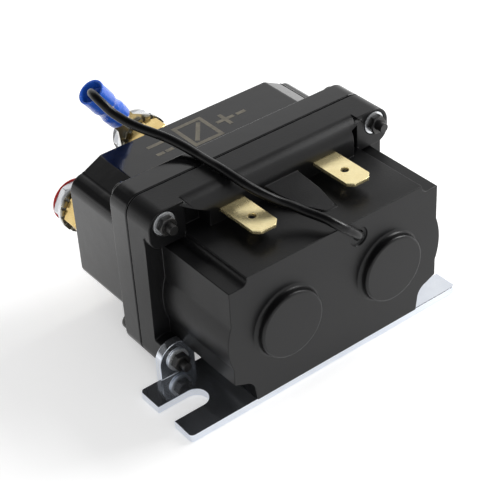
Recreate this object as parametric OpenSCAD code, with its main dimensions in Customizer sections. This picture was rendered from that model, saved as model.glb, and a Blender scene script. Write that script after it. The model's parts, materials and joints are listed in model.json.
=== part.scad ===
// Double-coil winch relay: a moulded coil housing and a moulded contact cover,
// screwed together over a gasket and carried on a slotted steel plate.
// +Y points to the four studs, +Z is up, and the origin is the middle of the
// fixing centreline on the underside of the plate. Sizes are in millimetres.

/* [Mounting plate] */
// Reach of the plate to the left of the centre plane
plate_left = 39.4; // [36:0.1:44]
// Reach of the plate to the right of the centre plane
plate_right = 35.0; // [34.5:0.1:44]
// Reach of the plate in front of the fixing centreline
plate_front = 8.9; // [8:0.1:12]
// Reach of the plate behind the fixing centreline
plate_back = 9.6; // [9:0.1:10]
// Thickness of the steel
plate_t = 2.0; // [1.5:0.1:2]
// Width of the open fixing slots
slot_w = 5.5; // [5:0.1:6.5]
// Depth of the open fixing slots from the plate's ends
slot_depth = 10.4; // [8:0.1:11]

/* [Coil housing] */
// Half width of the coil block
block_half_w = 27.9; // [27:0.1:28.2]
// Height of the coil block's top above the floor
block_top = 34.7; // [34:0.1:35]
// Distance of the coil block's face in front of the fixing centreline
block_front = 9.2; // [9:0.1:10]
// Distance between the two coil axes
coil_pitch = 27.7; // [27.4:0.1:27.8]
// Height of the coil axes
coil_z = 18.8; // [18.6:0.1:19]
// Radius of the coil drums that bulge out of the block's sides
drum_r = 15.1; // [15:0.1:15.2]
// Radius of the round bosses on the front
boss_r = 7.9; // [6:0.1:9]
// Height of the round bosses on the front
boss_h = 2.1; // [1:0.1:2.5]

/* [Flange and cover] */
// Half width of the flange and of the cover's rim
flange_half_w = 32.0; // [31.8:0.1:33]
// Height of the flange's top edge
flange_top = 42.4; // [42:0.1:43]
// Height of the flange's bottom edge
flange_bottom = 0.9; // [0.5:0.1:1.2]
// Corner radius of the flange
flange_r = 4.0; // [3:0.1:5]
// Thickness of the flange
flange_t = 5.7; // [5.5:0.1:6]
// Thickness of the cover's rim
rim_t = 5.8; // [5:0.1:6]
// Depth of the cover from the seam to its back
cover_depth = 23.6; // [23.6:0.1:26]
// Height of the cover's top
cover_top = 37.8; // [37.8:0.1:38.2]
// Wall thickness of the cover at its sides and top
cover_wall = 1.8; // [1.6:0.1:1.8]

/* [Terminals] */
// Width of the blade terminals
blade_w = 6.3; // [6.3]
// Thickness of the blade terminals
blade_t = 0.8; // [0.8]
// Thread diameter of the four studs
stud_d = 6.0; // [6]
// Diameter of the ground wire over its insulation
wire_d = 2.0; // [1.8:0.1:2.2]

/* [Contacts] */
// Travel of each plunger and its contact bridge
travel = 2.9; // [2:0.1:2.9]

/* [Hidden] */
$fn = 48;
eps = 0.01;

// The planes that the pieces are stacked on, from the front to the back.
flange_front = 13.2;
seam = flange_front + flange_t;
gasket_t = 0.4;
rim_front = seam + gasket_t;
rim_back = rim_front + rim_t;
cover_back = rim_front + cover_depth;
cover_back_wall = 2.5;
inner_back = cover_back - cover_back_wall;

// The two coils and the chambers that they sit in.
coil_x = coil_pitch / 2;
chamber_r = 13.0;
chamber_front = -block_front + 2.0;
pocket_front = flange_front + 0.6;
pocket_top = 35.4;
pocket_bottom = 5.6;
pocket_half_w = 27.2;
pocket_r = 6.0;

// The corner lugs, the screws and what they clamp.
lug_proud = 2.2;
lug_front = flange_front - lug_proud;
lug_inner_x = 23.0;
lug_bottom = 33.6;
lug_foot_r = 3.0;
upper_screw_x = 28.1;
upper_screw_z = 39.1;
lower_screw_x = 29.6;
lower_screw_z = 5.6;
SCREWS = [
    [-upper_screw_x, upper_screw_z], [upper_screw_x, upper_screw_z],
    [-lower_screw_x, lower_screw_z], [lower_screw_x, lower_screw_z]
];
screw_r = 1.05;
screw_hole_r = 1.25;
washer_r = 2.6;
washer_t = 0.5;
counterbore = 0.5;
counterbore_r = 2.75;
case_nut_h = 1.6;
case_nut_flats = 3.8;
screw_past_nut = 1.7;
ear_t = plate_t;
ear_r = 4.5;
ear_gap = 0.2;
ear_back = lug_front;
ear_front = ear_back - ear_t;

// The terminal block along the flange's top edge.
terminal_left = 18.2;
terminal_right = 20.7;
terminal_left_shoulder = 38.4;
terminal_right_shoulder = 40.6;
terminal_left_tip = 25.7;
terminal_right_tip = 28.0;
terminal_proud = 4.0;
terminal_front = flange_front - terminal_proud;

// The blade terminals.
blade_x = 12.4;
blade_z = 37.5;
blade_tip = -2.7;
blade_hole_r = 0.9;
blade_hole_y = 2.8;
blade_inner_end = flange_front + 3.0;
blade_tab_bottom = 33.6;

// The ground wire's exit in the block's front, and the channel that runs back from it.
exit_x = 5.85;
exit_z = 30.15;
exit_rim_r = 2.2;
exit_rim_depth = 0.5;
exit_gap = 0.15;
channel_x = 4.7;
channel_z = 30.2;
channel_r = 1.25;
channel_front = -8.2;
gate_r = 0.8;
gate_depth = 0.15;
splice_y = flange_front + 3.4;
common_y = flange_front + 4.6;
common_z = 34.4;
splice_bottom = common_z - 2.4;

// The coil pieces, all about the coil's own axis.
can_r = chamber_r - 0.15;
can_wall = 0.8;
can_front = chamber_front + 0.1;
can_front_wall = 1.2;
can_back = pocket_front - 0.1;
bobbin_front = can_front + can_front_wall + 0.1;
bobbin_back = can_back - 0.1;
bobbin_bore_r = 4.9;
bobbin_tube_r = 5.9;
bobbin_flange_r = 11.8;
bobbin_flange_t = 1.2;
winding_r = 11.2;
core_r = bobbin_bore_r - 0.15;
core_rivet_r = 2.9;
core_back = 4.6;
spring_bore_r = 2.35;
core_bore_front = 0.4;
magnet_gap = travel + 0.3;
plunger_r = bobbin_bore_r - 0.35;
plunger_front = core_back + magnet_gap;
plunger_back = pocket_front + 1.8;
plunger_bore_back = plunger_front + 3.0;
pole_plate_t = 2.0;
pole_plate_back = pocket_front + pole_plate_t;
pole_plate_top = 32.5;
guide_plate_top = 27.5;

// The rod, the bridge and the springs that move with each plunger.
rod_r = 1.5;
rod_front = plunger_bore_back + 1.2;
collar_r = 2.9;
collar_front = flange_front + 12.5;
collar_back = collar_front + 1.5;
bridge_t = 2.0;
button_h = 1.0;
strip_t = 1.5;
rear_strip_front = inner_back - strip_t;
bridge_back = rear_strip_front - button_h;
bridge_front = bridge_back - bridge_t;
front_button_back = bridge_front - travel - 0.1;
front_strip_back = front_button_back - button_h;
front_strip_front = front_strip_back - strip_t;
bridge_half_w = 3.5;
bridge_half_l = 7.2;
button_offset = 5.2;
button_r = 1.8;
clip_t = 0.5;
clip_back = bridge_back + clip_t;
rod_back = clip_back + 0.3;
groove_r = 1.1;

// The strips inside the cover.
strip_low = 11.4;
strip_low_top = 15.5;
strip_high = 22.0;
strip_high_top = 27.0;
strip_side = 28.9;

// The studs: [x, z] of each, and the stack of pieces on them.
stud_left_at = [-25.5, 22.4];
stud_upper_at = [-7.6, 32.6];
stud_lower_at = [7.6, 15.0];
stud_right_at = [25.0, 22.0];
STUDS = [stud_left_at, stud_upper_at, stud_lower_at, stud_right_at];
stud_r = stud_d / 2;
stud_gap = 0.05;
thread_gap = 0.04;
washer_gap = 0.15;
stud_end = cover_back + 12.6;
base_nut_h = 5.0;
stud_nut_flats = 10;
toothed_t = 0.8;
lug_t = 0.8;
flat_t = 1.0;
stud_nut_h = 2.5;
marker_t = 0.35;
base_nut_back = cover_back + base_nut_h;
toothed_back = base_nut_back + toothed_t;
terminal_back = toothed_back + lug_t;
big_washer_r = 5.9;
marker_r = 5.4;

// The ring terminal leans to the left of the upper stud.
lug_lean = 35;
ring_r = 5.9;
sleeve_start = 9.4;
sleeve_end = 20.6;

// The ground wire's route, from the hole in the block to the crimp sleeve.
WIRE_ROUTE = [
    [6.35, -8.2, 29.9], [5.75, -9.2, 30.55], [4.8, -10.0, 31.55], [3.7, -10.3, 32.7],
    [2.1, -10.3, 34.2], [0.75, -10.0, 35.4], [-0.3, -8.9, 36.25], [-1.0, -7.6, 36.8],
    [-1.9, -5.7, 37.2], [-3.1, -3.2, 37.6], [-4.4, -0.9, 38.3], [-6.1, 1.4, 39.1],
    [-7.9, 3.7, 40.3], [-9.3, 6.0, 41.4], [-10.3, 8.2, 42.3], [-11.0, 10.7, 43.0],
    [-11.5, 14.0, 43.5], [-11.8, 17.6, 43.55], [-12.0, 21.0, 43.6], [-12.7, 24.8, 44.1],
    [-14.1, 28.4, 45.0], [-15.9, 31.3, 45.9], [-17.3, 34.2, 46.4], [-18.4, 36.8, 47.0],
    [-19.2, 38.8, 47.7], [-20.0, 40.5, 48.6], [-20.6, 42.1, 49.8], [-20.95, 43.95, 50.65],
    [-20.75, 45.88, 50.75], [-20.1, 47.55, 50.15], [-19.14, 48.69, 49.0], [-18.03, 49.1, 47.5],
    [-17.0, 49.1, 46.03], [-16.0, 49.1, 44.6]
];

// Extrudes a front-view outline (x, z) along Y.
module along_y(from, to) {
    translate([0, to, 0])
        rotate([90, 0, 0])
            linear_extrude(to - from)
                children();
}

// A round rod along Y.
module rod_y(x, z, r, from, to) {
    translate([x, from, z])
        rotate([-90, 0, 0])
            cylinder(r = r, h = to - from);
}

// A tube or washer along Y.
module ring_y(x, z, outer, inner, from, to) {
    difference() {
        rod_y(x, z, outer, from, to);
        rod_y(x, z, inner, from - 1, to + 1);
    }
}

// Points along an arc, for outlines with round stretches.
function arc(x, z, r, from, to, steps = 8) =
    [for (i = [0:steps]) let (a = from + (to - from) * i / steps) [x + r * cos(a), z + r * sin(a)]];

// A rectangle with round corners, drawn from exact arcs.
module rounded_rect(x0, z0, x1, z1, r) {
    translate([x0 + r, z0]) square([x1 - x0 - 2 * r, z1 - z0]);
    translate([x0, z0 + r]) square([x1 - x0, z1 - z0 - 2 * r]);
    for (x = [x0 + r, x1 - r])
        for (z = [z0 + r, z1 - r])
            translate([x, z]) circle(r);
}

// The same outline for the flange, the gasket and the cover's rim.
module flange_outline(inset = 0) {
    rounded_rect(-flange_half_w + inset, flange_bottom + inset,
                 flange_half_w - inset, flange_top - inset, flange_r - inset);
}

// The four case screw positions.
module at_screws() {
    for (s = SCREWS) translate([s[0], 0, s[1]]) children();
}

// The clear pocket behind the coils, shared by flange and gasket.
module pocket_outline() {
    rounded_rect(-pocket_half_w, pocket_bottom, pocket_half_w, pocket_top, pocket_r);
    translate([-17, pocket_top - 2]) square([34, 6.4]);
}

module mounting_plate() {
    slot_r = slot_w / 2;
    color([0.78, 0.79, 0.81]) {
        difference() {
            linear_extrude(plate_t)
                rounded_plate();
            for (side = [-1, 1]) {
                end = side < 0 ? plate_left : plate_right;
                apex = end - slot_depth;
                translate([side * (apex + slot_r), 0, -1])
                    cylinder(r = slot_r, h = plate_t + 2);
                translate([side < 0 ? -end - 1 : apex + slot_r, -slot_r, -1])
                    cube([slot_depth - slot_r + 1, slot_w, plate_t + 2]);
            }
        }
        for (side = [-1, 1])
            difference() {
                intersection() {
                    translate([side * lower_screw_x - ear_r, 0, 0])
                        rotate([90, 0, 90])
                            linear_extrude(2 * ear_r)
                                ear_profile();
                    along_y(0, ear_back + 1) {
                        translate([side * lower_screw_x, lower_screw_z]) circle(ear_r);
                        translate([side * lower_screw_x - ear_r, -1])
                            square([2 * ear_r, lower_screw_z + 1]);
                    }
                }
                rod_y(side * lower_screw_x, lower_screw_z, screw_hole_r, 0, ear_back + 1);
            }
    }
}

// The plate from above, with small corner radii on its prongs.
module rounded_plate() {
    rounded_rect(-plate_left, -plate_front, plate_right, plate_back, 1.0);
}

// Side view (y, z) of an ear folded up from the plate's back edge.
module ear_profile() {
    bend_r = 2.2;
    overlap = 3.0;
    reach = 12.0;
    polygon(concat(
        [[plate_back - overlap, 0]],
        arc(ear_back - bend_r, bend_r, bend_r, 270, 360),
        [[ear_back, reach], [ear_front, reach], [ear_front, plate_t],
         [plate_back - overlap, plate_t]]
    ));
}

// Front view of the coil block: two drums in a square-cornered body.
module block_outline() {
    difference() {
        union() {
            translate([-block_half_w, plate_t])
                square([2 * block_half_w, block_top - plate_t]);
            for (x = [-coil_x, coil_x])
                translate([x, coil_z]) circle(drum_r, $fn = 96);
        }
        for (side = [0, 1])
            mirror([side, 0]) {
                top_cove();
                bottom_notch();
            }
        translate([-40, plate_t - 5]) square([80, 5]);
    }
}

// The step along the block's upper corner, with a hollow inner radius.
module top_cove() {
    cove_x = 23.4;
    cove_z = 32.8;
    cove_r = 1.4;
    translate([cove_x + cove_r, cove_z]) square([9, 6]);
    translate([cove_x, cove_z + cove_r]) square([9, 6]);
    translate([cove_x + cove_r, cove_z + cove_r]) circle(cove_r);
}

// The deep notch at the block's lower corner, over the plate's end.
module bottom_notch() {
    polygon(concat([[22.4, 0], [22.4, 2]], arc(26.0, 4.9, 3.2, 180, 105, 6),
                   [[28.2, 9.3], [33, 9.3], [33, 0]]));
}

// A low round boss with a hollow foot and a soft upper edge.
module front_boss(x) {
    foot = 0.9;
    soft = 0.6;
    foot_arc = arc(boss_r + foot, foot, foot, 265, 180, 5);
    soft_arc = arc(boss_r - soft, boss_h - soft, soft, 0, 90, 4);
    translate([x, -block_front, coil_z])
        rotate([90, 0, 0])
            rotate_extrude($fn = 72)
                polygon(concat([[0, -1], [boss_r + foot, -1]], foot_arc, soft_arc, [[0, boss_h]]));
}

// The terminal block: a bar with a large round front edge and slanted ends.
module terminal_block() {
    intersection() {
        translate([-terminal_left_tip - 1, 0, 0])
            rotate([90, 0, 90])
                linear_extrude(terminal_left_tip + terminal_right_tip + 2)
                    polygon(concat(
                        [[flange_front + 1, block_top - 2], [terminal_front, block_top - 2]],
                        arc(flange_front, flange_top - terminal_proud, terminal_proud, 180, 90, 12),
                        [[flange_front + 1, flange_top]]
                    ));
        along_y(0, flange_front)
            polygon([
                [-terminal_left, block_top - 1], [terminal_right, block_top - 1],
                [terminal_right, terminal_right_shoulder], [terminal_right_tip, flange_top],
                [-terminal_left_tip, flange_top], [-terminal_left, terminal_left_shoulder]
            ]);
    }
}

// The sloped hump on the block's top that covers the lead channel.
module lead_hump() {
    intersection() {
        linear_extrude(40)
            polygon([
                [-4.0, terminal_front + 1], [4.8, terminal_front + 1], [5.8, 3.2],
                [5.4, -2.8], [2.6, -2.6], [-0.9, 1.2], [-3.0, 6.0], [-4.0, terminal_front]
            ]);
        translate([-10, 0, 0])
            rotate([90, 0, 90])
                linear_extrude(20)
                    polygon([
                        [-2.9, block_top - 1], [terminal_front + 1, block_top - 1],
                        [terminal_front + 1, 37.9], [terminal_front, 37.9], [-2.9, block_top]
                    ]);
    }
}

// Front view of the coil block with the four corner lugs beside it.
module lugged_outline() {
    block_outline();
    intersection() {
        flange_outline();
        for (side = [0, 1])
            mirror([side, 0]) {
                translate([lug_inner_x, lug_bottom])
                    square([flange_half_w - lug_inner_x - lug_foot_r, 9]);
                translate([lug_inner_x, lug_bottom + lug_foot_r]) square([14, 6]);
                translate([flange_half_w - lug_foot_r, lug_bottom + lug_foot_r])
                    circle(lug_foot_r);
                translate([lower_screw_x, lower_screw_z]) circle(ear_r - ear_gap);
                translate([lower_screw_x - ear_r + ear_gap, 0])
                    square([2 * (ear_r - ear_gap), lower_screw_z]);
            }
    }
}

// The round rim and the slanting hole in the block's front that the ground wire enters.
module wire_exit_cut() {
    rod_y(exit_x, exit_z, exit_rim_r, -block_front - 1, -block_front + exit_rim_depth);
    bent_wire([for (i = [0:3]) WIRE_ROUTE[i]], wire_d / 2 + exit_gap);
    rod_y(channel_x, channel_z, channel_r, channel_front, pocket_front + 0.5);
}

module coil_housing() {
    color([0.10, 0.10, 0.11])
        difference() {
            union() {
                along_y(-block_front, lug_front) block_outline();
                along_y(lug_front, flange_front) lugged_outline();
                along_y(flange_front, seam) flange_outline();
                terminal_block();
                lead_hump();
                for (x = [-coil_x, coil_x]) front_boss(x);
            }
            for (x = [-coil_x, coil_x])
                rod_y(x, coil_z, chamber_r, chamber_front, pocket_front + 0.5);
            along_y(pocket_front, seam + 1) pocket_outline();
            at_screws() rod_y(0, 0, screw_hole_r, lug_front - 1, seam + 1);
            for (x = [-upper_screw_x, upper_screw_x])
                rod_y(x, upper_screw_z, counterbore_r, lug_front - 1, lug_front + counterbore);
            for (x = [-lower_screw_x, lower_screw_x])
                rod_y(x, lower_screw_z, ear_r + ear_gap, ear_front - ear_gap, lug_front);
            for (x = [-blade_x, blade_x])
                translate([x - blade_w / 2, terminal_front - 1, blade_z - blade_t / 2])
                    cube([blade_w, pocket_front - terminal_front + 2, blade_t]);
            rod_y(0, coil_z, gate_r, -block_front - 1, -block_front + gate_depth);
            wire_exit_cut();
        }
}

module gasket() {
    color([0.16, 0.16, 0.17])
        difference() {
            along_y(seam, rim_front)
                difference() {
                    flange_outline(0.4);
                    pocket_outline();
                }
            at_screws() rod_y(0, 0, screw_hole_r, seam - 1, rim_front + 1);
        }
}

// Front view of the cover behind its rim, with sloping upper shoulders.
module cover_outline(inset = 0) {
    half_w = 31.1 - inset;
    low = 9.3 + inset;
    top = cover_top - inset;
    crease_x = 22.8 - inset * 0.2;
    slope_x = 27.7 - inset * 0.8;
    slope_z = top - 2.4;
    turn_r = 3.6 - inset * 0.4;
    foot_r = 2.6 - inset * 0.6;
    for (side = [0, 1])
        mirror([side, 0]) {
            polygon([
                [0, low + foot_r], [half_w, low + foot_r], [half_w, slope_z - turn_r],
                [slope_x, slope_z], [crease_x, top], [0, top]
            ]);
            translate([0, low]) square([half_w - foot_r, foot_r + 1]);
            translate([half_w - foot_r, low + foot_r]) circle(foot_r);
            translate([half_w - turn_r, slope_z - turn_r]) circle(turn_r);
        }
}

module contact_cover() {
    color([0.12, 0.12, 0.13])
        difference() {
            union() {
                along_y(rim_front, rim_back) flange_outline();
                along_y(rim_front + 1, cover_back) cover_outline();
            }
            along_y(rim_front - 1, inner_back) cover_outline(cover_wall);
            at_screws() rod_y(0, 0, screw_hole_r, rim_front - 1, cover_back + 1);
            for (s = STUDS) rod_y(s[0], s[1], stud_r + stud_gap, inner_back - 1, cover_back + 1);
        }
}

// A hexagonal nut along Y with both faces chamfered.
module nut_y(x, z, flats, hole_r, from, to) {
    h = to - from;
    corner_r = flats / 2 / cos(30);
    chamfer = (corner_r - flats / 2) * 0.8;
    translate([x, from, z])
        rotate([-90, 0, 0])
            difference() {
                intersection() {
                    cylinder(r = corner_r, h = h, $fn = 6);
                    rotate_extrude()
                        polygon([
                            [0, 0], [flats / 2 - 0.1, 0], [corner_r, chamfer],
                            [corner_r, h - chamfer], [flats / 2 - 0.1, h], [0, h]
                        ]);
                }
                translate([0, 0, -1]) cylinder(r = hole_r, h = h + 2);
            }
}

// Front faces of the washers: the lower pair lies on the plate's ears.
function washer_seat(s) = s[1] == upper_screw_z ? lug_front + counterbore : ear_front;

module case_screws() {
    head_r = 2.2;
    head_h = 1.6;
    recess = [2.6, 1.6, 0.6];
    color([0.13, 0.13, 0.14])
        for (s = SCREWS) {
            tip = washer_seat(s) - washer_t - case_nut_h - screw_past_nut;
            rod_y(s[0], s[1], screw_r, tip, rim_back + eps);
            difference() {
                rod_y(s[0], s[1], head_r, rim_back, rim_back + head_h);
                for (turn = [0, 90])
                    translate([s[0], rim_back + head_h, s[1]])
                        rotate([0, turn, 0])
                            cube(recess, center = true);
            }
        }
}

module case_nuts() {
    color([0.12, 0.12, 0.13])
        for (s = SCREWS) {
            back = washer_seat(s) - washer_t;
            nut_y(s[0], s[1], case_nut_flats, screw_r + thread_gap, back - case_nut_h, back);
        }
}

module case_washers() {
    color([0.85, 0.86, 0.88])
        for (s = SCREWS) {
            back = washer_seat(s);
            ring_y(s[0], s[1], washer_r, screw_r + washer_gap, back - washer_t, back);
        }
}

module pole_plate() {
    notch_r = 1.0;
    tail_notch_r = 1.5;
    color([0.62, 0.63, 0.65])
        difference() {
            along_y(pocket_front, pole_plate_back)
                rounded_rect(-26.6, 6.2, 26.6, pole_plate_top, 5.4);
            for (side = [-1, 1]) {
                rod_y(side * coil_x, coil_z, bobbin_bore_r, 0, seam);
                for (x = [10.5, 14.5])
                    translate([side * x - notch_r, 0, 28.2])
                        cube([2 * notch_r, seam, 10]);
            }
            translate([channel_x - tail_notch_r, 0, channel_z - tail_notch_r])
                cube([2 * tail_notch_r, seam, 10]);
        }
}

module guide_plate() {
    color([0.55, 0.38, 0.20])
        difference() {
            along_y(pole_plate_back, seam)
                rounded_rect(-26.6, 6.2, 26.6, guide_plate_top, 5.4);
            for (side = [-1, 1])
                rod_y(side * coil_x, coil_z, rod_r + 0.35, 0, seam + 1);
        }
}

module coil_can(x) {
    color([0.60, 0.61, 0.64])
        difference() {
            rod_y(x, coil_z, can_r, can_front, can_back);
            rod_y(x, coil_z, can_r - can_wall, can_front + can_front_wall, can_back + 1);
            rod_y(x, coil_z, core_rivet_r, can_front - 1, can_back);
        }
}

module bobbin(x) {
    color([0.90, 0.88, 0.80])
        difference() {
            union() {
                rod_y(x, coil_z, bobbin_tube_r, bobbin_front, bobbin_back);
                rod_y(x, coil_z, bobbin_flange_r, bobbin_front, bobbin_front + bobbin_flange_t);
                rod_y(x, coil_z, bobbin_flange_r, bobbin_back - bobbin_flange_t, bobbin_back);
            }
            rod_y(x, coil_z, bobbin_bore_r, bobbin_front - 1, bobbin_back + 1);
        }
}

// The wound wire, with the fine ridges of its outer layer.
module winding(x) {
    layer = 1.0;
    start = bobbin_front + bobbin_flange_t + 0.05;
    stop = bobbin_back - bobbin_flange_t - 0.05;
    turns = floor((stop - start) / layer);
    pitch = (stop - start) / turns;
    ridge = 0.25;
    outline = [for (i = [0:turns - 1]) each [
        [winding_r - ridge, i * pitch], [winding_r, (i + 0.5) * pitch]
    ]];
    color([0.72, 0.36, 0.18])
        translate([x, start, coil_z])
            rotate([-90, 0, 0])
                rotate_extrude($fn = 36)
                    polygon(concat([[bobbin_tube_r, 0]], outline,
                                   [[winding_r - ridge, turns * pitch], [bobbin_tube_r, turns * pitch]]));
}

module core(x) {
    color([0.55, 0.56, 0.58])
        difference() {
            union() {
                rod_y(x, coil_z, core_r, can_front + can_front_wall, core_back);
                rod_y(x, coil_z, core_rivet_r, can_front, can_front + can_front_wall + eps);
            }
            rod_y(x, coil_z, spring_bore_r, core_bore_front, core_back + 1);
        }
}

module plunger(x) {
    color([0.68, 0.69, 0.72])
        difference() {
            rod_y(x, coil_z, plunger_r, plunger_front, plunger_back);
            rod_y(x, coil_z, spring_bore_r, plunger_front - 1, plunger_bore_back);
            rod_y(x, coil_z, rod_r, rod_front, plunger_back + 1);
        }
}

module contact_rod(x) {
    color([0.85, 0.83, 0.76])
        difference() {
            union() {
                rod_y(x, coil_z, rod_r, rod_front, rod_back);
                rod_y(x, coil_z, collar_r, collar_front, collar_back);
            }
            ring_y(x, coil_z, rod_r + 1, groove_r, bridge_back, clip_back);
        }
}

module contact_bridge(x) {
    color([0.80, 0.48, 0.28])
        difference() {
            along_y(bridge_front, bridge_back)
                rounded_rect(x - bridge_half_w, coil_z - bridge_half_l,
                             x + bridge_half_w, coil_z + bridge_half_l, 1.5);
            rod_y(x, coil_z, rod_r + 0.05, bridge_front - 1, bridge_back + 1);
        }
}

// An open clip that snaps into the rod's groove behind the bridge.
module rod_clip(x) {
    color([0.50, 0.51, 0.54])
        difference() {
            ring_y(x, coil_z, 2.7, groove_r + 0.03, bridge_back, clip_back);
            translate([x - 0.8, bridge_back - 1, coil_z - 4]) cube([1.6, 3, 4]);
        }
}

// One face list for any tube of rings: sides, then the two end caps.
function tube_faces(rings, sides) = concat(
    [for (i = [0:rings - 2]) for (j = [0:sides - 1])
        [i * sides + j, i * sides + (j + 1) % sides,
         (i + 1) * sides + (j + 1) % sides, (i + 1) * sides + j]],
    [[for (j = [sides - 1:-1:0]) j]],
    [[for (j = [0:sides - 1]) (rings - 1) * sides + j]]
);

// A helical compression spring along Y.
module coil_spring(x, mean_r, wire_r, from, to, turns) {
    sides = 6;
    steps = 14;
    count = turns * steps;
    rise = (to - from - 2 * wire_r) / count;
    points = [for (i = [0:count]) for (j = [0:sides - 1])
        let (a = 360 * i / steps, b = 360 * j / sides, r = mean_r + wire_r * cos(b))
        [r * cos(a), from + wire_r + rise * i + wire_r * sin(b), r * sin(a)]];
    translate([x, 0, coil_z])
        polyhedron(points = points, faces = tube_faces(count + 1, sides), convexity = 8);
}

module return_spring(x) {
    color([0.75, 0.76, 0.78])
        coil_spring(x, 1.85, 0.28, core_bore_front + 0.05, plunger_bore_back - 0.05, 6);
}

module contact_spring(x) {
    color([0.75, 0.76, 0.78])
        coil_spring(x, 2.15, 0.32, collar_back + 0.02, bridge_front - 0.02, 6);
}

// A flat brass blade with a chamfered tip, folded down inside the housing.
module blade_terminal(x) {
    half = blade_w / 2;
    tip_cut = 1.3;
    color([0.86, 0.68, 0.28]) {
        difference() {
            translate([x, 0, blade_z - blade_t / 2])
                linear_extrude(blade_t)
                    polygon([
                        [-half, blade_inner_end], [-half, blade_tip + tip_cut],
                        [-half + tip_cut, blade_tip], [half - tip_cut, blade_tip],
                        [half, blade_tip + tip_cut], [half, blade_inner_end]
                    ]);
            translate([x, blade_hole_y, blade_z - 2]) cylinder(r = blade_hole_r, h = 4);
        }
        translate([x - half, blade_inner_end - blade_t, blade_tab_bottom])
            cube([blade_w, blade_t, blade_z + blade_t / 2 - blade_tab_bottom]);
    }
}

// A bent wire of round section: straight runs with a ball at each corner.
module bent_wire(points, r) {
    for (i = [0:len(points) - 2]) {
        step = points[i + 1] - points[i];
        length = norm(step);
        translate(points[i])
            rotate([0, acos(step[2] / length), atan2(step[1], step[0])])
                cylinder(r = r, h = length, $fn = 16);
    }
    if (len(points) > 2)
        for (i = [1:len(points) - 2])
            translate(points[i]) sphere(r = r, $fn = 16);
}

module coil_leads() {
    lead_r = 0.35;
    blade_back = blade_inner_end + lead_r;
    color([0.70, 0.33, 0.16])
        for (side = [-1, 1]) {
            bent_wire([
                [side * 14.5, bobbin_back, 29.3], [side * 14.5, blade_back, 29.3],
                [side * 14.5, blade_back, 36.4]
            ], lead_r);
            bent_wire([
                [side * 10.5, bobbin_back, 29.3], [side * 10.5, common_y, 29.3],
                [side * 10.5, common_y, common_z], [channel_x + side * 2.0, common_y, common_z]
            ], lead_r);
        }
}

// The insulated tail of the ground wire inside the housing, and its splice.
module ground_lead() {
    lead_front = -7.3;
    splice_size = [4.0, 2.0, 3.6];
    fold_t = 0.25;
    color([0.09, 0.09, 0.10])
        bent_wire([
            [channel_x, lead_front, channel_z], [channel_x, splice_y, channel_z],
            [channel_x, splice_y, splice_bottom]
        ], wire_d / 2);
    color([0.80, 0.80, 0.82])
        difference() {
            translate([channel_x - splice_size[0] / 2, splice_y - 0.7, splice_bottom])
                cube(splice_size);
            translate([channel_x - splice_size[0], splice_y, splice_bottom + 1.2])
                cube([2 * splice_size[0], fold_t, splice_size[2]]);
        }
}

// A flat strip in the plane of the back wall or of the front contacts.
module rear_strip() {
    along_y(rear_strip_front, inner_back) children();
}
module front_strip() {
    along_y(front_strip_front, front_strip_back) children();
}

// The hole that a stud's foot is peened in, through the rear strip alone.
module stud_hole(s) {
    rod_y(s[0], s[1], stud_r, rear_strip_front - eps, cover_back);
}

// The silver-faced buttons on the strips, facing the bridge.
module rear_button(x, z) {
    rod_y(x, z, button_r, bridge_back, rear_strip_front + eps);
}
module front_button(x, z) {
    rod_y(x, z, button_r, front_strip_back - eps, front_button_back);
}

module strip_rect(x0, z0, x1, z1) {
    translate([x0, z0]) square([x1 - x0, z1 - z0]);
}

module positive_bus() {
    color([0.83, 0.52, 0.30])
        difference() {
            union() {
                rear_strip() strip_rect(stud_right_at[0] - 4.6, 17.6, strip_side, strip_high_top);
                along_y(front_strip_front, inner_back)
                    strip_rect(strip_side - strip_t, 21.0, strip_side, strip_high_top);
                front_strip() strip_rect(-coil_x - 3, strip_high, strip_side, strip_high_top);
                for (x = [-coil_x, coil_x]) front_button(x, coil_z + button_offset);
            }
            stud_hole(stud_right_at);
        }
}

module negative_bus() {
    color([0.83, 0.52, 0.30])
        difference() {
            union() {
                rear_strip() {
                    strip_rect(-coil_x - 3, 28.6, coil_x + 3, 35.9);
                    for (x = [-coil_x, coil_x]) strip_rect(x - 3, strip_high, x + 3, 29);
                }
                for (x = [-coil_x, coil_x]) rear_button(x, coil_z + button_offset);
            }
            stud_hole(stud_upper_at);
        }
}

module motor_contact_left() {
    x = -coil_x;
    color([0.83, 0.52, 0.30])
        difference() {
            union() {
                rear_strip() {
                    strip_rect(-strip_side, 12.6, stud_left_at[0] + 4.6, stud_left_at[1] + 4.4);
                    strip_rect(-strip_side, 12.6, x + 3, strip_low_top + 1.4);
                }
                along_y(front_strip_front, inner_back)
                    strip_rect(-strip_side, 12.6, -strip_side + strip_t, strip_low_top + 1.4);
                front_strip() strip_rect(-strip_side, strip_low + 0.4, x + 3, strip_low_top);
                rear_button(x, coil_z - button_offset);
                front_button(x, coil_z - button_offset);
            }
            stud_hole(stud_left_at);
        }
}

module motor_contact_right() {
    x = coil_x;
    leg_x = stud_lower_at[0] - 4.6;
    color([0.83, 0.52, 0.30])
        difference() {
            union() {
                rear_strip() {
                    strip_rect(leg_x, strip_low, stud_lower_at[0] + 4.6, stud_lower_at[1] + 4.4);
                    strip_rect(leg_x, strip_low, x + 3, strip_low_top + 0.4);
                }
                along_y(front_strip_front, inner_back)
                    strip_rect(leg_x, strip_low, stud_lower_at[0] + 1, strip_low + strip_t);
                front_strip() strip_rect(leg_x, strip_low, x + 3, strip_low_top);
                rear_button(x, coil_z - button_offset);
                front_button(x, coil_z - button_offset);
            }
            stud_hole(stud_lower_at);
        }
}

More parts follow.
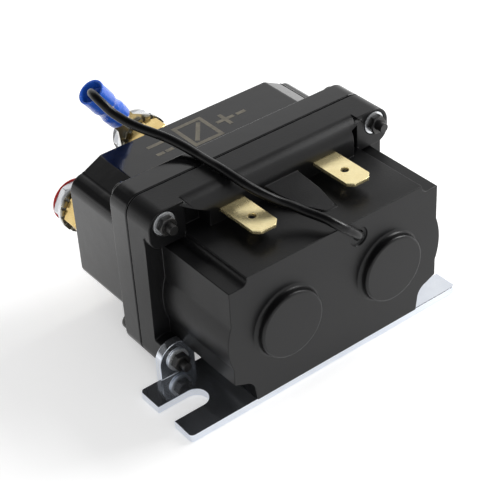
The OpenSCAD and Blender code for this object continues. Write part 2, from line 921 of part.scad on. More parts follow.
// A threaded brass stud, peened flush over its strip, with a chamfered end.
module stud(at) {
    chamfer = 0.6;
    color([0.86, 0.68, 0.28])
        translate([at[0], rear_strip_front, at[1]])
            rotate([-90, 0, 0])
                rotate_extrude()
                    polygon([
                        [0, 0], [stud_r, 0], [stud_r, stud_end - rear_strip_front - chamfer],
                        [stud_r - chamfer, stud_end - rear_strip_front],
                        [0, stud_end - rear_strip_front]
                    ]);
}

// Back plane of the toothed washer, or of the ring terminal on the upper stud.
function stack_start(s) = s == stud_upper_at ? terminal_back : toothed_back;

module base_nuts() {
    color([0.86, 0.68, 0.28])
        for (s = STUDS)
            nut_y(s[0], s[1], stud_nut_flats, stud_r + thread_gap, cover_back, base_nut_back);
}

module toothed_washers() {
    teeth = 16;
    color([0.45, 0.42, 0.33])
        for (s = STUDS)
            difference() {
                rod_y(s[0], s[1], big_washer_r, base_nut_back, toothed_back);
                rod_y(s[0], s[1], stud_r + washer_gap, base_nut_back - 1, toothed_back + 1);
                for (i = [0:teeth - 1])
                    translate([s[0], base_nut_back - 1, s[1]])
                        rotate([0, 360 * i / teeth, 0])
                            translate([big_washer_r - 1.0, 0, -0.35])
                                cube([2, toothed_t + 2, 0.7]);
            }
}

module flat_washers() {
    color([0.88, 0.89, 0.90])
        for (s = STUDS)
            ring_y(s[0], s[1], big_washer_r, stud_r + washer_gap,
                   stack_start(s), stack_start(s) + flat_t);
}

module stud_nuts() {
    color([0.86, 0.68, 0.28])
        for (s = STUDS)
            nut_y(s[0], s[1], stud_nut_flats, stud_r + thread_gap,
                  stack_start(s) + flat_t, stack_start(s) + flat_t + stud_nut_h);
}

module marker_ring(s) {
    from = stack_start(s) + flat_t + stud_nut_h;
    ring_y(s[0], s[1], marker_r, stud_r + washer_gap, from, from + marker_t);
}

// Turns a piece drawn upright on the upper stud to the terminal's lean.
module lean() {
    translate([stud_upper_at[0], 0, stud_upper_at[1]])
        rotate([0, -lug_lean, 0])
            children();
}

module ring_terminal() {
    neck_w = 5.2;
    color([0.80, 0.80, 0.78])
        lean()
            difference() {
                union() {
                    rod_y(0, 0, ring_r, toothed_back, terminal_back);
                    along_y(toothed_back, terminal_back)
                        polygon([
                            [-5.2, 2.8], [5.2, 2.8], [neck_w / 2, 7.4], [neck_w / 2, 9.0],
                            [1.4, 11.0], [-1.4, 11.0], [-neck_w / 2, 9.0], [-neck_w / 2, 7.4]
                        ]);
                }
                rod_y(0, 0, stud_r + washer_gap, toothed_back - 1, terminal_back + 1);
            }
}

// The blue insulating sleeve: a nipped tube with a flared mouth.
module crimp_sleeve() {
    bore_r = wire_d / 2 + 0.05;
    mouth_bore_r = 2.6;
    length = sleeve_end - sleeve_start;
    color([0.10, 0.32, 0.82])
        lean()
            translate([0, terminal_back - lug_t / 2, sleeve_start])
                difference() {
                    rotate_extrude()
                        polygon([
                            [0, 0], [2.55, 0], [2.85, 0.4], [2.95, 3.0], [2.7, 4.0], [2.7, 5.4],
                            [3.0, 6.4], [3.0, 9.4], [3.1, length], [0, length]
                        ]);
                    translate([0, 0, 2.2]) cylinder(r = bore_r, h = length);
                    translate([0, 0, length - 5.0])
                        cylinder(r1 = bore_r, r2 = mouth_bore_r, h = 2.5);
                    translate([0, 0, length - 2.5 - eps])
                        cylinder(r = mouth_bore_r, h = 4);
                    translate([-3, -lug_t / 2 - 0.02, -1]) cube([6, lug_t + 0.04, 2.7]);
                }
}

// Unit helpers for the swept wire.
function unit(v) = v / norm(v);
function route_dir(p, i) = unit(p[min(i + 1, len(p) - 1)] - p[max(i - 1, 0)]);
function wire_ring(p, i, r, sides) =
    let (d = route_dir(p, i), u = unit(cross(d, [0.3, 1, 0.2])), v = cross(d, u))
    [for (j = [0:sides - 1]) p[i] + r * (cos(360 * j / sides) * u + sin(360 * j / sides) * v)];

module ground_wire() {
    sides = 8;
    points = [for (i = [0:len(WIRE_ROUTE) - 1]) each wire_ring(WIRE_ROUTE, i, wire_d / 2, sides)];
    color([0.08, 0.08, 0.09])
        polyhedron(points = points, faces = tube_faces(len(WIRE_ROUTE), sides), convexity = 6);
}

mounting_plate();
coil_housing();
gasket();
contact_cover();
case_screws();
case_nuts();
case_washers();
pole_plate();
guide_plate();
coil_can(-coil_x);  // coil_can_left
coil_can(coil_x);  // coil_can_right
bobbin(-coil_x);  // bobbin_left
bobbin(coil_x);  // bobbin_right
winding(-coil_x);  // winding_left
winding(coil_x);  // winding_right
core(-coil_x);  // core_left
core(coil_x);  // core_right
plunger(-coil_x);  // plunger_left
plunger(coil_x);  // plunger_right
contact_rod(-coil_x);  // contact_rod_left
contact_rod(coil_x);  // contact_rod_right
contact_bridge(-coil_x);  // contact_bridge_left
contact_bridge(coil_x);  // contact_bridge_right
rod_clip(-coil_x);  // rod_clip_left
rod_clip(coil_x);  // rod_clip_right
return_spring(-coil_x);  // return_spring_left
return_spring(coil_x);  // return_spring_right
contact_spring(-coil_x);  // contact_spring_left
contact_spring(coil_x);  // contact_spring_right
blade_terminal(-blade_x);  // blade_terminal_left
blade_terminal(blade_x);  // blade_terminal_right
coil_leads();
ground_lead();
positive_bus();
negative_bus();
motor_contact_left();
motor_contact_right();
stud(stud_left_at);  // stud_left
stud(stud_upper_at);  // stud_upper
stud(stud_lower_at);  // stud_lower
stud(stud_right_at);  // stud_right
base_nuts();
toothed_washers();
flat_washers();
stud_nuts();
color([0.80, 0.12, 0.10]) marker_ring(stud_left_at);  // marker_ring_red
color([0.92, 0.92, 0.90]) marker_ring(stud_upper_at);  // marker_ring_white
color([0.90, 0.75, 0.15]) marker_ring(stud_lower_at);  // marker_ring_yellow
color([0.12, 0.25, 0.75]) marker_ring(stud_right_at);  // marker_ring_blue
ring_terminal();
crimp_sleeve();
ground_wire();
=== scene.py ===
import json
import math
import bpy
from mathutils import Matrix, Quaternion, Vector

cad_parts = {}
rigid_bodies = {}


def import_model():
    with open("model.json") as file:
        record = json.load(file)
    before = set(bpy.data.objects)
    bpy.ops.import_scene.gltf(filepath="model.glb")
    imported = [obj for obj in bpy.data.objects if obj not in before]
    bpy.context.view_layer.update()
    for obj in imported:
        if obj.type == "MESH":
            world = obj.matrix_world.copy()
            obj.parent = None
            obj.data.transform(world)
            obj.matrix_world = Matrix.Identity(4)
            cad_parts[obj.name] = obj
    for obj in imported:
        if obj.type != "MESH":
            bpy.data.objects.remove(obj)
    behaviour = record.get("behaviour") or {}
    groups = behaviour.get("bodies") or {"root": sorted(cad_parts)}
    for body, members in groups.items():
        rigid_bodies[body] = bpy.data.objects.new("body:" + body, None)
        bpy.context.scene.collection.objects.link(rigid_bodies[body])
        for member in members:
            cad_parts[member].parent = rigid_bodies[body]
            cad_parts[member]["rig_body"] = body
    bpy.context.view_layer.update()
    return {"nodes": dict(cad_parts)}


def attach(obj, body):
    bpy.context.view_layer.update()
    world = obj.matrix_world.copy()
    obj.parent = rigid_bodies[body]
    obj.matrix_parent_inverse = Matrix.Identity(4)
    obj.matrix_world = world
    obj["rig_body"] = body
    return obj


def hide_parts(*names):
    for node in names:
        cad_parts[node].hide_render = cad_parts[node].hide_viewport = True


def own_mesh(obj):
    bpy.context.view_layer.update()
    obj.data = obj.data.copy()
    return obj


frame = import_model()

# Camera: a long lens above the relay's left front corner, looking down on the coil
# end, so that the studs at the back show only past the cover's left edge.
camera_data = bpy.data.cameras.new("camera")
camera_data.sensor_width = 36.0
camera_data.lens = 105.3
camera_data.shift_x = 0.0022
camera_data.shift_y = -0.0017
camera_data.clip_start = 0.02
camera_data.clip_end = 20.0
camera = bpy.data.objects.new("camera", camera_data)
bpy.context.scene.collection.objects.link(camera)
camera_look = Vector((0.4719, 0.6485, -0.5973))
camera_roll = Quaternion((0, 0, 1), math.radians(-3.53))
camera.location = Vector((-0.15473, -0.19108, 0.20867))
camera.rotation_mode = "QUATERNION"
camera.rotation_quaternion = camera_look.to_track_quat("-Z", "Y") @ camera_roll
bpy.context.scene.camera = camera
bpy.context.scene.view_settings.view_transform = "Standard"

# Coil housing: one satin black nylon moulding, with the two coil drums showing through its
# sides, round bosses over the cores, corner lugs and the terminal block on top. A small
# dimple between the bosses is where the nylon went into the mould.
nodes = frame["nodes"]
mm = 0.001


def put_input(node, **values):
    """Sets a shader node's inputs by name, with underscores for spaces."""
    for name, value in values.items():
        node.inputs[name.replace("_", " ")].default_value = value
    return node


def surface_group():
    """The unevenness every finish here shares: a broad mottle, a fine grain, and drawn scratches."""
    group = bpy.data.node_groups.new("surface_unevenness", "ShaderNodeTree")
    group.interface.new_socket("Mottle Scale", in_out="INPUT", socket_type="NodeSocketFloat")
    group.interface.new_socket("Grain Scale", in_out="INPUT", socket_type="NodeSocketFloat")
    group.interface.new_socket("Scratch Stretch", in_out="INPUT", socket_type="NodeSocketVector")
    for name in ("Mottle", "Grain", "Scratch"):
        group.interface.new_socket(name, in_out="OUTPUT", socket_type="NodeSocketFloat")
    made, link = group.nodes.new, group.links.new
    inside, outside = made("NodeGroupInput"), made("NodeGroupOutput")
    place = made("ShaderNodeTexCoord").outputs["Object"]
    mottle = put_input(made("ShaderNodeTexNoise"), Detail=4.0, Roughness=0.6)
    grain = put_input(made("ShaderNodeTexNoise"), Detail=2.0, Roughness=0.5)
    scratch = put_input(made("ShaderNodeTexNoise"), Scale=1.0, Detail=3.0, Roughness=0.7)
    stretch = made("ShaderNodeVectorMath")
    stretch.operation = "MULTIPLY"
    link(place, stretch.inputs[0])
    link(inside.outputs["Scratch Stretch"], stretch.inputs[1])
    link(stretch.outputs[0], scratch.inputs["Vector"])
    for texture, scale in ((mottle, "Mottle Scale"), (grain, "Grain Scale")):
        link(place, texture.inputs["Vector"])
        link(inside.outputs[scale], texture.inputs["Scale"])
    for texture, name in ((mottle, "Mottle"), (grain, "Grain"), (scratch, "Scratch")):
        spread = put_input(made("ShaderNodeMapRange"), From_Min=0.3, From_Max=0.7)
        link(texture.outputs["Fac"], spread.inputs["Value"])
        link(spread.outputs["Result"], outside.inputs[name])
    return group


unevenness = surface_group()
worn_shade = 0.78


def finish_of(name, colour, roughness, metallic=0.0, worn=None, uneven=0.06, mottle=90.0,
              grain=2500.0, grain_depth=0.004, scratch=(400.0, 400.0, 400.0), scratched=0.0, **shader):
    """A finish: two tones that mottle, a roughness that wanders, and a grain that stands up.
    The grain's depth is in millimetres. Scratched is the share of drawn scratches in the sheen."""
    made = bpy.data.materials.new(name)
    made.use_nodes = True
    tree = made.node_tree
    skin = put_input(tree.nodes["Principled BSDF"], Metallic=metallic, **shader)
    pattern = tree.nodes.new("ShaderNodeGroup")
    pattern.node_tree = unevenness
    put_input(pattern, Mottle_Scale=mottle, Grain_Scale=grain, Scratch_Stretch=scratch)
    tones = tree.nodes.new("ShaderNodeMix")
    tones.data_type = "RGBA"
    tones.inputs["A"].default_value = (*colour, 1.0)
    tones.inputs["B"].default_value = (*(worn or [part * worn_shade for part in colour]), 1.0)
    tree.links.new(pattern.outputs["Mottle"], tones.inputs["Factor"])
    tree.links.new(tones.outputs["Result"], skin.inputs["Base Color"])
    sheen = tree.nodes.new("ShaderNodeMapRange")
    put_input(sheen, To_Min=roughness - uneven, To_Max=roughness + uneven)
    if scratched:
        blend = tree.nodes.new("ShaderNodeMix")
        blend.inputs["Factor"].default_value = scratched
        tree.links.new(pattern.outputs["Mottle"], blend.inputs["A"])
        tree.links.new(pattern.outputs["Scratch"], blend.inputs["B"])
        tree.links.new(blend.outputs["Result"], sheen.inputs["Value"])
    else:
        tree.links.new(pattern.outputs["Mottle"], sheen.inputs["Value"])
    tree.links.new(sheen.outputs["Result"], skin.inputs["Roughness"])
    bump = put_input(tree.nodes.new("ShaderNodeBump"), Strength=0.6, Distance=grain_depth * mm)
    tree.links.new(pattern.outputs["Grain"], bump.inputs["Height"])
    tree.links.new(bump.outputs["Normal"], skin.inputs["Normal"])
    return made


def dress(piece, material):
    """Leaves this material as the piece's only one."""
    piece.data.materials.clear()
    piece.data.materials.append(material)


def only(*pieces):
    """Leaves just these pieces selected, with the first one active."""
    bpy.ops.object.select_all(action="DESELECT")
    for piece in pieces:
        piece.select_set(True)
    bpy.context.view_layer.objects.active = pieces[0]


weld = 0.004 * mm
dimple_level = 0.02 * mm


def softened(node, name, material, edge=0.0, segments=2, corner=28.0, smooth=35.0, flat=True,
             dimple=None):
    """A copy of a construction solid whose edges are broken; it stands for that solid.
    A dimple, given by its floor's middle and radius, becomes a shallow hollow first."""
    piece = bpy.data.objects.new(name, nodes[node].data.copy())
    bpy.context.scene.collection.objects.link(piece)
    only(piece)
    bpy.ops.mesh.customdata_custom_splitnormals_clear()
    bpy.ops.object.mode_set(mode="EDIT")
    bpy.ops.mesh.select_all(action="SELECT")
    bpy.ops.mesh.remove_doubles(threshold=weld)
    if dimple:
        bpy.ops.mesh.select_all(action="DESELECT")
        bpy.ops.object.mode_set(mode="OBJECT")
        middle, radius = dimple
        for vertex in piece.data.vertices:
            on_floor = abs(vertex.co.y - middle.y) < dimple_level
            vertex.select = on_floor and (vertex.co - middle).length < radius
        bpy.ops.object.mode_set(mode="EDIT")
        bpy.ops.mesh.merge(type="CENTER")
        bpy.ops.mesh.select_all(action="SELECT")
    if flat:
        bpy.ops.mesh.dissolve_limited(angle_limit=math.radians(1.0))
    bpy.ops.object.mode_set(mode="OBJECT")
    if edge:
        bevel = piece.modifiers.new("edges", "BEVEL")
        bevel.width = edge * mm
        bevel.segments = segments
        bevel.limit_method = "ANGLE"
        bevel.angle_limit = math.radians(corner)
        bevel.use_clamp_overlap = False
        bevel.miter_outer = "MITER_ARC"
        bpy.ops.object.modifier_apply(modifier="edges")
    bpy.ops.object.shade_smooth_by_angle(angle=math.radians(smooth))
    weighted = piece.modifiers.new("flat_faces", "WEIGHTED_NORMAL")
    weighted.keep_sharp = True
    bpy.ops.object.modifier_apply(modifier="flat_faces")
    dress(piece, material)
    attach(piece, nodes[node]["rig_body"])
    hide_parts(node)
    return piece


gate_floor = Vector((0.0, -9.05, 18.8)) * mm
gate_r = 0.9 * mm
satin_black = finish_of("satin_black_nylon", (0.0038, 0.0038, 0.0042), worn=(0.0055, 0.0055, 0.006),
                        roughness=0.36, uneven=0.05, mottle=70.0, grain=2600.0, grain_depth=0.012,
                        Specular_IOR_Level=0.3)
softened("coil_housing", "coil_housing_moulding", satin_black, edge=0.2, segments=3,
         dimple=(gate_floor, gate_r))

# Blade terminals: stamped brass tongues moulded into the housing, with chamfered tips and
# a small latching hole, and rolled bright on their faces.
blade_brass = finish_of("blade_brass", (1.0, 0.87, 0.50), worn=(0.98, 0.82, 0.44), roughness=0.25,
                        metallic=0.82, uneven=0.04, mottle=300.0, grain=2000.0,
                        scratch=(900.0, 90.0, 900.0), scratched=0.3)
for side in ("left", "right"):
    softened("blade_terminal_" + side, "blade_terminal_brass_" + side, blade_brass, edge=0.12)

# Magnet iron: the cans, cores, plungers and pole plate that carry the coils' field, plain
# machined and lightly oiled.
soft_iron = finish_of("soft_iron", (0.42, 0.42, 0.43), worn=(0.33, 0.33, 0.34), roughness=0.36,
                      metallic=1.0, mottle=180.0, grain=1800.0, grain_depth=0.006,
                      scratch=(120.0, 1500.0, 120.0), scratched=0.5)
for name in ("pole_plate", "coil_can_left", "coil_can_right", "core_left", "core_right",
             "plunger_left", "plunger_right"):
    dress(nodes[name], soft_iron)

# Coils: enamelled copper wound on natural nylon bobbins, with leads of the same copper
# soldered to the blades and to the ground wire's tail.
nylon = finish_of("natural_nylon", (0.72, 0.68, 0.56), roughness=0.45, mottle=160.0, grain=1500.0,
                  grain_depth=0.01, Subsurface_Weight=0.1, Subsurface_Radius=(0.001, 0.0008, 0.0005))
enamel = finish_of("enamelled_copper", (0.60, 0.20, 0.07), worn=(0.46, 0.13, 0.04), roughness=0.25,
                   metallic=0.9, mottle=240.0, grain=2200.0, grain_depth=0.01, Coat_Weight=0.4)
for side in ("left", "right"):
    dress(nodes["bobbin_" + side], nylon)
    dress(nodes["winding_" + side], enamel)
dress(nodes["coil_leads"], enamel)

# Contacts: copper strips and bridges, a phenolic guide board, nylon rods that carry the
# bridges, and springs and clips of bright wire and strip.
contact_copper = finish_of("contact_copper", (0.80, 0.42, 0.24), worn=(0.62, 0.30, 0.16), roughness=0.28,
                           metallic=1.0, mottle=150.0, grain=2000.0, grain_depth=0.005, scratched=0.4)
for name in ("positive_bus", "negative_bus", "motor_contact_left", "motor_contact_right",
             "contact_bridge_left", "contact_bridge_right"):
    dress(nodes[name], contact_copper)
phenolic = finish_of("phenolic_board", (0.30, 0.14, 0.06), roughness=0.4, mottle=120.0, grain=900.0,
                     grain_depth=0.01)
dress(nodes["guide_plate"], phenolic)
spring_steel = finish_of("spring_steel", (0.62, 0.63, 0.65), roughness=0.22, metallic=1.0, mottle=400.0)
coil_x = 13.85
for side, x in (("left", -coil_x), ("right", coil_x)):
    dress(nodes["contact_rod_" + side], nylon)
    dress(nodes["contact_spring_" + side], spring_steel)
    dress(nodes["rod_clip_" + side], spring_steel)
    spring = softened("return_spring_" + side, "return_spring_wire_" + side, spring_steel,
                      smooth=70.0, flat=False)
    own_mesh(spring)

# Gasket: die-cut rubber sheet squeezed between the flange and the cover's rim, so only
# its dark edge shows in the seam.
gasket_rubber = finish_of("gasket_rubber", (0.02, 0.02, 0.021), roughness=0.75, mottle=250.0, grain=2200.0,
                          grain_depth=0.03)
dress(nodes["gasket"], gasket_rubber)

# Contact cover: a glossy black moulding over the contacts, with creased shoulders and a
# thick rim that the case screws pull against the housing's flange.
gloss_black = finish_of("gloss_black_moulding", (0.0035, 0.0035, 0.004), worn=(0.005, 0.005, 0.0055),
                        roughness=0.13, uneven=0.03, mottle=45.0, grain=260.0, grain_depth=0.02,
                        Specular_IOR_Level=0.46)
softened("contact_cover", "contact_cover_moulding", gloss_black, edge=0.3, segments=3,
         corner=20.0)

# Cover marking: a thin film of tan ink pad-printed on the cover's top, in plain signs alone:
# direct current, a relay coil, plus and minus. Each stroke is given by the x and y of its two
# ends. No slot of the record is an ink's, so it has the yellow ring's, the nearest in colour.
ink_top = 37.8
ink_film = 0.03
stroke_wide = 1.0
direct_current = ((-13.2, 37.9, -7.4, 37.9), (-13.2, 34.2, -12.2, 34.2), (-10.8, 34.2, -9.8, 34.2),
                  (-8.4, 34.2, -7.4, 34.2))
relay_coil = ((-4.9, 31.8, 2.1, 31.8), (-4.9, 40.2, 2.1, 40.2), (-4.9, 32.8, -4.9, 39.2),
              (2.1, 32.8, 2.1, 39.2), (-3.4, 33.4, 0.6, 38.6))
plus = ((4.3, 36.0, 8.1, 36.0), (6.2, 34.1, 6.2, 35.0), (6.2, 37.0, 6.2, 37.9))
minus = ((9.8, 36.0, 11.3, 36.0),)
strokes = []
for x0, y0, x1, y1 in direct_current + relay_coil + plus + minus:
    middle = ((x0 + x1) / 2 * mm, (y0 + y1) / 2 * mm, ink_top * mm)
    lean = math.atan2(y1 - y0, x1 - x0)
    bpy.ops.mesh.primitive_plane_add(size=1.0, location=middle, rotation=(0, 0, lean))
    stroke = bpy.context.active_object
    stroke.scale = ((math.hypot(x1 - x0, y1 - y0) + stroke_wide) * mm, stroke_wide * mm, 1.0)
    strokes.append(stroke)
only(*strokes)
bpy.ops.object.join()
bpy.ops.object.transform_apply(location=True, rotation=True, scale=True)
marking = bpy.context.active_object
marking.name = "cover_marking_ink"
film = marking.modifiers.new("film", "SOLIDIFY")
film.thickness = ink_film * mm
film.offset = 1.0
bpy.ops.object.modifier_apply(modifier="film")
tan_ink = finish_of("tan_ink", (0.17, 0.15, 0.11), worn=(0.10, 0.09, 0.07), roughness=0.42, mottle=600.0,
                    grain=3000.0, grain_depth=0.006)
dress(marking, tan_ink)
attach(marking, "case")


# Studs: brass rods with a rolled thread that stand out of the cover's back. One is wrapped
# from a flat grid into a helical thread with a chamfered tip, and the others are its copies.
def box_of(node):
    """A construction solid's lowest and highest corner, in millimetres."""
    places = [vertex.co / mm for vertex in nodes[node].data.vertices]
    low = Vector([min(place[axis] for place in places) for axis in range(3)])
    high = Vector([max(place[axis] for place in places) for axis in range(3)])
    return low, high


stud_r = 3.0
stud_front = box_of("stud_left")[0].y
stud_end = box_of("stud_left")[1].y
stud_chamfer = 0.6
thread_pitch = 1.0
thread_depth = 0.42
thread_sides = 40
thread_rows = 116
stud_brass = finish_of("stud_brass", (0.86, 0.66, 0.30), worn=(0.76, 0.55, 0.22), roughness=0.2,
                       metallic=1.0, mottle=260.0, grain=2000.0, grain_depth=0.005, scratched=0.4)
bpy.ops.mesh.primitive_grid_add(x_subdivisions=thread_sides, y_subdivisions=thread_rows, size=1.0)
first_stud = bpy.context.active_object
for vertex in first_stud.data.vertices:
    turn = vertex.co.x + 0.5
    along = (vertex.co.y + 0.5) * (stud_end - stud_front)
    groove = 1.0 - abs(2.0 * ((along / thread_pitch - turn) % 1.0) - 1.0)
    tip = stud_r - stud_chamfer + stud_end - stud_front - along
    radius = min(stud_r - thread_depth * groove, tip)
    angle = 2 * math.pi * turn
    vertex.co = Vector((radius * math.cos(angle), along, radius * math.sin(angle))) * mm
bpy.ops.object.mode_set(mode="EDIT")
bpy.ops.mesh.select_all(action="SELECT")
bpy.ops.mesh.remove_doubles(threshold=weld)
bpy.ops.mesh.fill_holes(sides=0)
bpy.ops.mesh.normals_make_consistent(inside=False)
bpy.ops.object.mode_set(mode="OBJECT")
bpy.ops.object.shade_smooth_by_angle(angle=math.radians(50.0))
studs = []
for name in ("stud_left", "stud_upper", "stud_lower", "stud_right"):
    stud = first_stud
    if studs:
        stud = first_stud.copy()
        stud.data = first_stud.data.copy()
        bpy.context.scene.collection.objects.link(stud)
    # The solid's facets start at its highest x, so only there do they reach the full radius.
    low, high = box_of(name)
    stud.name = name + "_threaded"
    stud.location = Vector((high.x - stud_r, stud_front, (low.z + high.z) / 2)) * mm
    dress(stud, stud_brass)
    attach(stud, "case")
    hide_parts(name)
    studs.append(stud)
only(*studs)
bpy.ops.object.transform_apply(location=True, rotation=False, scale=False)

# Stacks on the studs: a brass base nut, a dark toothed washer, a zinc flat washer and a
# zinc outer nut, with a coloured plastic ring on each that tells the cables apart.
pale_zinc = finish_of("pale_zinc", (0.86, 0.88, 0.90), worn=(0.78, 0.80, 0.83), roughness=0.3,
                      metallic=0.75, mottle=300.0, grain=2000.0, grain_depth=0.005, scratched=0.4)
toothed_dark = finish_of("dark_passivated", (0.28, 0.26, 0.20), roughness=0.32, metallic=1.0, mottle=400.0,
                         grain_depth=0.006)
softened("base_nuts", "base_nuts_brass", stud_brass, edge=0.12)
softened("stud_nuts", "stud_nuts_zinc", pale_zinc, edge=0.12)
softened("toothed_washers", "toothed_washers_dark", toothed_dark, edge=0.06)
softened("flat_washers", "flat_washers_zinc", pale_zinc, edge=0.1)
for name, colour in (("red", (0.62, 0.02, 0.015)), ("white", (0.80, 0.80, 0.78)),
                     ("yellow", (0.80, 0.50, 0.02)), ("blue", (0.012, 0.06, 0.45))):
    ring_plastic = finish_of("ring_plastic_" + name, colour, roughness=0.38, mottle=300.0, grain=1500.0,
                             grain_depth=0.01)
    softened("marker_ring_" + name, "marker_ring_plastic_" + name, ring_plastic, edge=0.12)

# Case fasteners: four cross-recessed screws and their hexagonal nuts in black oxide, with
# a bright zinc washer under each nut.
black_oxide = finish_of("black_oxide", (0.035, 0.035, 0.037), worn=(0.06, 0.058, 0.055), roughness=0.34,
                        metallic=0.7, mottle=500.0, grain_depth=0.006)
softened("case_screws", "case_screws_black", black_oxide, edge=0.08)
softened("case_nuts", "case_nuts_black", black_oxide, edge=0.08)
softened("case_washers", "case_washers_zinc", pale_zinc, edge=0.06)

# Mounting plate: blanked from 2 mm steel, with an open slot at each end and two ears
# folded up behind for the lower case screws, then zinc plated bright.
bright_zinc = finish_of("bright_zinc", (0.78, 0.81, 0.86), worn=(0.70, 0.74, 0.81), roughness=0.11,
                        metallic=0.95, uneven=0.05, mottle=120.0, grain=1500.0, grain_depth=0.003,
                        scratch=(60.0, 900.0, 900.0), scratched=0.35)
softened("mounting_plate", "mounting_plate_steel", bright_zinc, edge=0.22)

# Ring terminal: stamped from tinned copper sheet, clamped on the upper stud under its
# flat washer, with its tongue running up into the sleeve.
tinned = finish_of("tin_plating", (0.72, 0.72, 0.70), worn=(0.55, 0.55, 0.54), roughness=0.3,
                   metallic=1.0, mottle=350.0, grain=3000.0, grain_depth=0.005, scratched=0.4)
terminal = softened("ring_terminal", "ring_terminal_tinned", tinned, edge=0.1)

# Crimp sleeve: the blue vinyl sleeve that insulates the ring terminal's barrel. It is
# moulded with a funnel mouth and grips the wire's insulation under it.
sleeve_blue = finish_of("blue_vinyl", (0.025, 0.14, 0.74), worn=(0.035, 0.17, 0.80), roughness=0.26,
                        mottle=220.0, grain=900.0, grain_depth=0.02, Coat_Weight=0.25,
                        Subsurface_Weight=0.15, Subsurface_Radius=(0.0003, 0.0005, 0.001))
sleeve = softened("crimp_sleeve", "crimp_sleeve_vinyl", sleeve_blue, edge=0.12,
                  corner=50.0, smooth=60.0, flat=False)

# Ground wire: a limp stranded copper lead in black insulation. Its tail comes from the coils
# through the hole in the housing's front; it crosses both mouldings and ends in the sleeve.
wire_d = 2.0 * mm
wire_route = [Vector(p) * mm for p in (
    (6.35, -8.2, 29.9), (5.75, -9.2, 30.55), (4.8, -10.0, 31.55), (3.7, -10.3, 32.7),
    (2.1, -10.3, 34.2), (0.75, -10.0, 35.4), (-0.3, -8.9, 36.25), (-1.0, -7.6, 36.8),
    (-1.9, -5.7, 37.2), (-3.1, -3.2, 37.6), (-4.4, -0.9, 38.3), (-6.1, 1.4, 39.1),
    (-7.9, 3.7, 40.3), (-9.3, 6.0, 41.4), (-10.3, 8.2, 42.3), (-11.0, 10.7, 43.0),
    (-11.5, 14.0, 43.5), (-11.8, 17.6, 43.55), (-12.0, 21.0, 43.6), (-12.7, 24.8, 44.1),
    (-14.1, 28.4, 45.0), (-15.9, 31.3, 45.9), (-17.3, 34.2, 46.4), (-18.4, 36.8, 47.0),
    (-19.2, 38.8, 47.7), (-20.0, 40.5, 48.6), (-20.6, 42.1, 49.8), (-20.95, 43.95, 50.65),
    (-20.75, 45.88, 50.75), (-20.1, 47.55, 50.15), (-19.14, 48.69, 49.0), (-18.03, 49.1, 47.5),
    (-17.0, 49.1, 46.03), (-16.0, 49.1, 44.6))]
wire_curve = bpy.data.curves.new("ground_wire_insulation", "CURVE")
wire_curve.dimensions = "3D"
wire_curve.bevel_depth = wire_d / 2
wire_curve.bevel_resolution = 7
wire_curve.resolution_u = 8
wire_curve.use_fill_caps = True
spline = wire_curve.splines.new("BEZIER")
spline.bezier_points.add(len(wire_route) - 1)
for point, place in zip(spline.bezier_points, wire_route):
    point.co = place
    point.handle_left_type = point.handle_right_type = "AUTO"
ground_wire = bpy.data.objects.new("ground_wire_insulation", wire_curve)
bpy.context.scene.collection.objects.link(ground_wire)
wire_black = finish_of("wire_insulation", (0.004, 0.004, 0.0045), roughness=0.3, mottle=300.0,
                       grain=1800.0, grain_depth=0.01, Specular_IOR_Level=0.28)
dress(ground_wire, wire_black)
dress(nodes["ground_lead"], wire_black)
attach(ground_wire, "case")
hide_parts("ground_wire")


# Floor: a large pale sheet that takes the relay's shadow. It glows a little, but only for
# the camera and for what mirrors it, so it reads as a white ground.
def combined(tree, operation, first, second):
    """A Math node's result on two values."""
    made = tree.nodes.new("ShaderNodeMath")
    made.operation = operation
    tree.links.new(first, made.inputs[0])
    tree.links.new(second, made.inputs[1])
    return made.outputs[0]


def seen_by(tree, *rays):
    """One for rays of any of these kinds, and nought for all others."""
    path = tree.nodes.new("ShaderNodeLightPath")
    seen = path.outputs[rays[0]]
    for ray in rays[1:]:
        seen = combined(tree, "MAXIMUM", seen, path.outputs[ray])
    return seen


def mixed(tree, share, first, second):
    """A shader that goes from the first to the second with the share."""
    made = tree.nodes.new("ShaderNodeMixShader")
    tree.links.new(share, made.inputs["Fac"])
    tree.links.new(first.outputs[0], made.inputs[1])
    tree.links.new(second.outputs[0], made.inputs[2])
    return made


bpy.ops.mesh.primitive_plane_add(size=6.0, location=(0, 0, 0))
floor = bpy.context.active_object
floor.name = "floor"
floor_paint = bpy.data.materials.new("floor_paint")
floor_paint.use_nodes = True
tree = floor_paint.node_tree
tree.nodes.clear()
matt = put_input(tree.nodes.new("ShaderNodeBsdfDiffuse"), Color=(0.93, 0.93, 0.93, 1.0))
glow = put_input(tree.nodes.new("ShaderNodeEmission"), Strength=0.42)
no_glow = put_input(tree.nodes.new("ShaderNodeEmission"), Strength=0.0)
seen = seen_by(tree, "Is Camera Ray", "Is Glossy Ray", "Is Transmission Ray")
both = tree.nodes.new("ShaderNodeAddShader")
tree.links.new(matt.outputs[0], both.inputs[0])
tree.links.new(mixed(tree, seen, no_glow, glow).outputs[0], both.inputs[1])
output = tree.nodes.new("ShaderNodeOutputMaterial")
tree.links.new(both.outputs[0], output.inputs["Surface"])
dress(floor, floor_paint)


# Studio: white walls all round, plain to the camera and a weaker even light on what is matt.
# What mirrors them sees a dark ceiling, and a dark left side above a low bright skirt.
def fade(tree, along, start, end, before, after, interpolation="LINEAR"):
    """A value that goes from before to after while the direction climbs from start to end."""
    made = tree.nodes.new("ShaderNodeMapRange")
    put_input(made, From_Min=start, From_Max=end, To_Min=before, To_Max=after)
    made.interpolation_type = interpolation
    tree.links.new(along, made.inputs["Value"])
    return made.outputs["Result"]


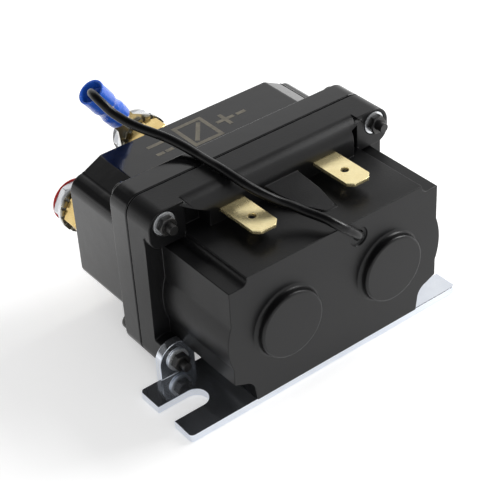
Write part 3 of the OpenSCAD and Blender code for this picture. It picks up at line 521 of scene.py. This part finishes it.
world = bpy.data.worlds.new("studio")
bpy.context.scene.world = world
world.use_nodes = True
tree = world.node_tree
tree.nodes.clear()
ambient = put_input(tree.nodes.new("ShaderNodeBackground"), Color=(1, 1, 1, 1), Strength=0.42)
backdrop = put_input(tree.nodes.new("ShaderNodeBackground"), Color=(1, 1, 1, 1), Strength=1.0)
walls = put_input(tree.nodes.new("ShaderNodeBackground"), Color=(1, 1, 1, 1))
direction = tree.nodes.new("ShaderNodeSeparateXYZ")
tree.links.new(tree.nodes.new("ShaderNodeTexCoord").outputs["Generated"], direction.inputs[0])
ceiling = fade(tree, direction.outputs["Z"], 0.64, 0.74, before=1.0, after=0.04,
               interpolation="SMOOTHSTEP")
left_side = fade(tree, direction.outputs["X"], -0.30, 0.20, before=0.15, after=1.0)
skirt = fade(tree, direction.outputs["Z"], 0.10, 0.32, before=1.0, after=0.0)
below_ceiling = combined(tree, "MAXIMUM", left_side, skirt)
tree.links.new(combined(tree, "MULTIPLY", ceiling, below_ceiling), walls.inputs["Strength"])
seen = seen_by(tree, "Is Camera Ray", "Is Transmission Ray")
unmirrored = mixed(tree, seen, ambient, backdrop)
studio = mixed(tree, seen_by(tree, "Is Glossy Ray"), unmirrored, walls)
output = tree.nodes.new("ShaderNodeOutputWorld")
tree.links.new(studio.outputs[0], output.inputs["Surface"])

# Lamps: one broad soft light high on the right, and a weaker one lower in front on the left
# that opens the shadows, both turned to the relay's middle.
relay_middle = Vector((0.0, 0.02, 0.02))
for name, at, size, watts in (
        ("key_light", (0.80, -0.05, 0.62), (0.55, 0.55), 8.5),
        ("fill_light", (-0.35, -0.85, 0.45), (0.6, 0.5), 1.2)):
    light = bpy.data.lights.new(name, "AREA")
    light.shape = "RECTANGLE"
    light.size, light.size_y = size
    light.energy = watts
    lamp = bpy.data.objects.new(name, light)
    bpy.context.scene.collection.objects.link(lamp)
    lamp.location = at
    lamp.rotation_mode = "QUATERNION"
    lamp.rotation_quaternion = (relay_middle - Vector(at)).to_track_quat("-Z", "Y")
